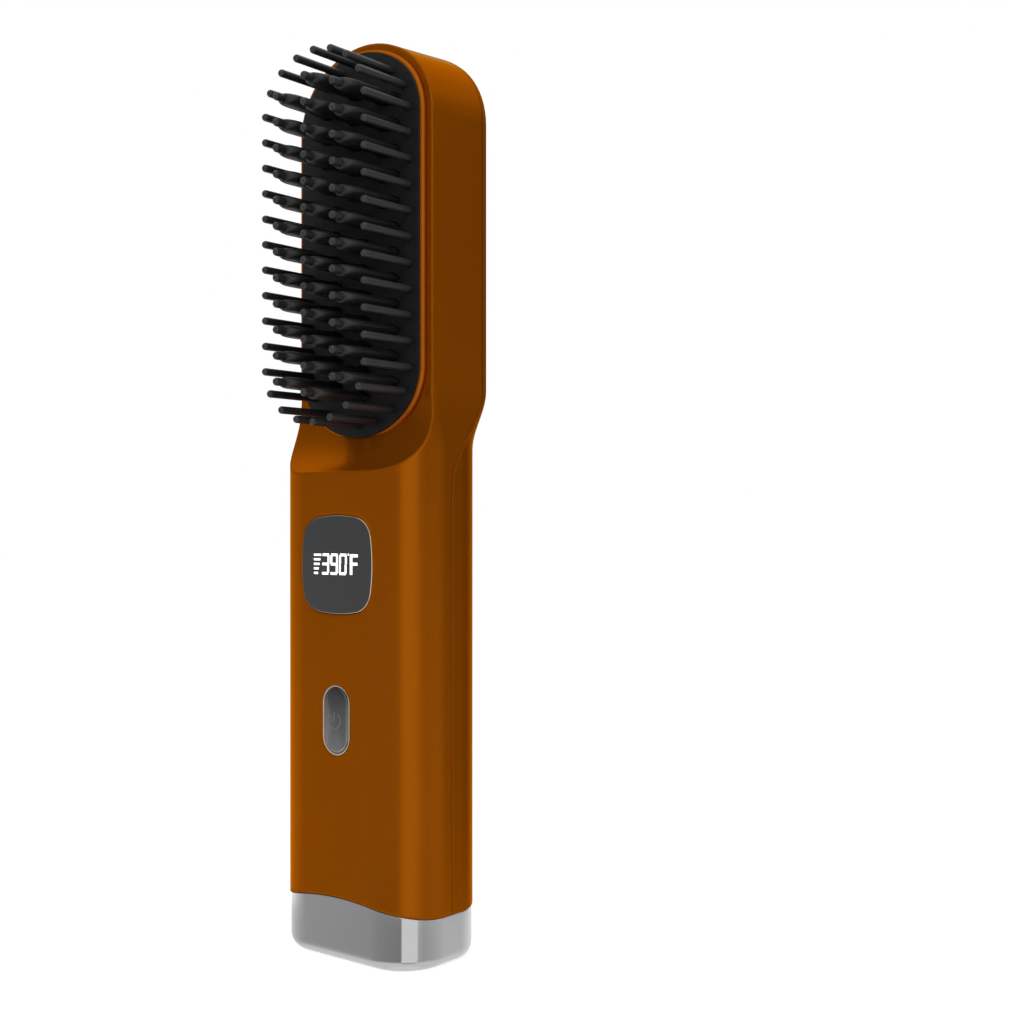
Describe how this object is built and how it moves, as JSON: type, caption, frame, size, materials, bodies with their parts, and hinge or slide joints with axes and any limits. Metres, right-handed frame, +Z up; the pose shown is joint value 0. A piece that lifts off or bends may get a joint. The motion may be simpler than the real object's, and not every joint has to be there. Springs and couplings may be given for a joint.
{
  "type": "heated styling brush",
  "caption": "Cordless heated styling brush: slim handle with readout window and power button, arched head with heated teeth inside a ring of cool pins, metal-look base with charging inlet.",
  "frame": {"origin": "centre of the handle's footprint on the base's underside, at the joint plane between the shells", "axes": "+Z up along the handle to the head, +X to the right as seen from the bristle side, -Y the way the bristles point"},
  "size_m": [0.042, 0.0361, 0.199],
  "materials": {
    "body_plastic": "satin gloss",
    "bright_plating": "bright plated",
    "button_plating": "satin plated",
    "black_plastic": "satin",
    "coated_aluminium": "black ceramic coat",
    "heater_ceramic": "matt",
    "mica": "matt",
    "sensor_glass": "gloss",
    "screw_steel": "zinc plated",
    "lead_sleeve": "satin",
    "window_plastic": "gloss",
    "board_green": "lacquered",
    "cell_sleeve": "film sleeve",
    "tab_nickel": "bright"
  },
  "bodies": {
    "body": {"front_shell": "body_plastic", "rear_cover": "body_plastic", "base_cap": "bright_plating", "base_screws": "screw_steel", "bristle_frame": "black_plastic", "rim_pins": "black_plastic", "heating_teeth": "coated_aluminium", "cool_tips": "black_plastic", "heat_plate": "coated_aluminium", "heater_strips": "heater_ceramic", "mica_sheet": "mica", "clamp_plate": "screw_steel", "clamp_screws": "screw_steel", "temperature_sensor": "sensor_glass", "thermal_fuse": "heater_ceramic", "heater_leads": "lead_sleeve", "display_window": "window_plastic", "display_module": "black_plastic", "main_board": "board_green", "board_screws": "screw_steel", "button_ring": "bright_plating", "switch_body": "black_plastic", "battery_cells": "cell_sleeve", "battery_cradle": "black_plastic", "battery_tabs": "tab_nickel", "charging_inlet": "screw_steel", "charge_board": "board_green", "charge_leads": "lead_sleeve"},
    "button": {"power_button": "button_plating", "switch_plunger": "black_plastic"}
  },
  "joints": [
    {"name": "button_press", "type": "slide", "parent": "body", "child": "button", "axis": [0, 1, 0], "range_m": [0, 0.0005], "stiffness_N_per_m": 3000}
  ]
}
